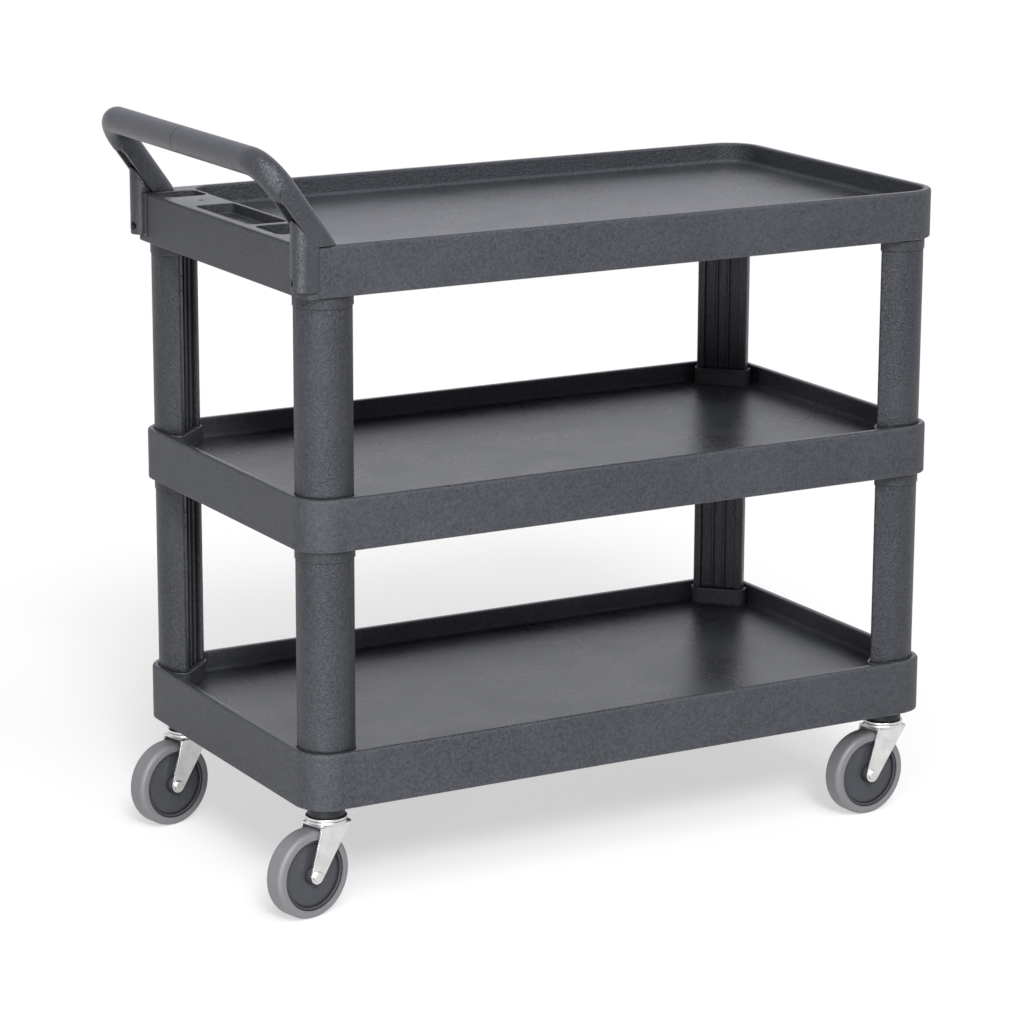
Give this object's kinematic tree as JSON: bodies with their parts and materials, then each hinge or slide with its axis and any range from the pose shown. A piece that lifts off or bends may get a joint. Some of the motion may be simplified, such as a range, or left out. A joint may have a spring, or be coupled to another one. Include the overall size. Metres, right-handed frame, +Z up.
{
  "type": "rolling utility cart",
  "caption": "Moulded plastic service cart with stacked lipped trays on hollow posts, a U-shaped push handle over a small organiser, and swivel casters.",
  "frame": {"origin": "on the floor, below the middle of the overall box", "axes": "+X along the trays away from the handle, +Y to the left of the person pushing, +Z up"},
  "size_m": [1.096, 0.552, 1.066],
  "materials": {
    "tray_plastic": "fine stippled grain, satin on the decks",
    "post_plastic": "fine stippled grain",
    "handle_plastic": "fine stippled grain",
    "black_plastic": "smooth",
    "wheel_plastic": "smooth satin",
    "tyre_rubber": "smooth matt thermoplastic rubber",
    "zinc_steel": "bright zinc plating",
    "black_screw": "black oxide"
  },
  "bodies": {
    "cart": {"top_tray": "tray_plastic", "middle_tray": "tray_plastic", "bottom_tray": "tray_plastic", "post_upper_rear_right": "post_plastic", "post_upper_rear_left": "post_plastic", "post_upper_front_right": "post_plastic", "post_upper_front_left": "post_plastic", "post_lower_rear_right": "post_plastic", "post_lower_rear_left": "post_plastic", "post_lower_front_right": "post_plastic", "post_lower_front_left": "post_plastic", "handle_right": "handle_plastic", "handle_left": "handle_plastic", "handle_screws": "black_screw", "caster_rear_right_stem": "zinc_steel", "caster_rear_right_dust_ring": "black_plastic", "caster_rear_right_upper_race": "zinc_steel", "caster_rear_left_stem": "zinc_steel", "caster_rear_left_dust_ring": "black_plastic", "caster_rear_left_upper_race": "zinc_steel", "caster_front_right_stem": "zinc_steel", "caster_front_right_dust_ring": "black_plastic", "caster_front_right_upper_race": "zinc_steel", "caster_front_left_stem": "zinc_steel", "caster_front_left_dust_ring": "black_plastic", "caster_front_left_upper_race": "zinc_steel"},
    "caster_rear_right": {"caster_rear_right_fork": "zinc_steel", "caster_rear_right_lower_race": "zinc_steel", "caster_rear_right_balls": "zinc_steel", "caster_rear_right_sleeve": "zinc_steel", "caster_rear_right_bolt": "zinc_steel", "caster_rear_right_nut": "zinc_steel"},
    "wheel_rear_right": {"caster_rear_right_core": "wheel_plastic", "caster_rear_right_tyre": "tyre_rubber"},
    "caster_rear_left": {"caster_rear_left_fork": "zinc_steel", "caster_rear_left_lower_race": "zinc_steel", "caster_rear_left_balls": "zinc_steel", "caster_rear_left_sleeve": "zinc_steel", "caster_rear_left_bolt": "zinc_steel", "caster_rear_left_nut": "zinc_steel"},
    "wheel_rear_left": {"caster_rear_left_core": "wheel_plastic", "caster_rear_left_tyre": "tyre_rubber"},
    "caster_front_right": {"caster_front_right_fork": "zinc_steel", "caster_front_right_lower_race": "zinc_steel", "caster_front_right_balls": "zinc_steel", "caster_front_right_sleeve": "zinc_steel", "caster_front_right_bolt": "zinc_steel", "caster_front_right_nut": "zinc_steel"},
    "wheel_front_right": {"caster_front_right_core": "wheel_plastic", "caster_front_right_tyre": "tyre_rubber"},
    "caster_front_left": {"caster_front_left_fork": "zinc_steel", "caster_front_left_lower_race": "zinc_steel", "caster_front_left_balls": "zinc_steel", "caster_front_left_sleeve": "zinc_steel", "caster_front_left_bolt": "zinc_steel", "caster_front_left_nut": "zinc_steel"},
    "wheel_front_left": {"caster_front_left_core": "wheel_plastic", "caster_front_left_tyre": "tyre_rubber"}
  },
  "joints": [
    {"name": "swivel_rear_right", "type": "hinge", "parent": "cart", "child": "caster_rear_right", "pos_m": [-0.435, -0.228, 0.132], "axis": [0, 0, 1], "continuous": true},
    {"name": "spin_rear_right", "type": "hinge", "parent": "caster_rear_right", "child": "wheel_rear_right", "pos_m": [-0.46813, -0.23565, 0.0625], "axis": [-0.225, 0.9744, 0], "continuous": true},
    {"name": "swivel_rear_left", "type": "hinge", "parent": "cart", "child": "caster_rear_left", "pos_m": [-0.435, 0.228, 0.132], "axis": [0, 0, 1], "continuous": true},
    {"name": "spin_rear_left", "type": "hinge", "parent": "caster_rear_left", "child": "wheel_rear_left", "pos_m": [-0.46813, 0.22035, 0.0625], "axis": [-0.225, 0.9744, 0], "continuous": true},
    {"name": "swivel_front_right", "type": "hinge", "parent": "cart", "child": "caster_front_right", "pos_m": [0.493, -0.228, 0.132], "axis": [0, 0, 1], "continuous": true},
    {"name": "spin_front_right", "type": "hinge", "parent": "caster_front_right", "child": "wheel_front_right", "pos_m": [0.45908, -0.23037, 0.0625], "axis": [-0.0698, 0.9976, 0], "continuous": true},
    {"name": "swivel_front_left", "type": "hinge", "parent": "cart", "child": "caster_front_left", "pos_m": [0.493, 0.228, 0.132], "axis": [0, 0, 1], "continuous": true},
    {"name": "spin_front_left", "type": "hinge", "parent": "caster_front_left", "child": "wheel_front_left", "pos_m": [0.45933, 0.22327, 0.0625], "axis": [-0.1392, 0.9903, 0], "continuous": true}
  ]
}
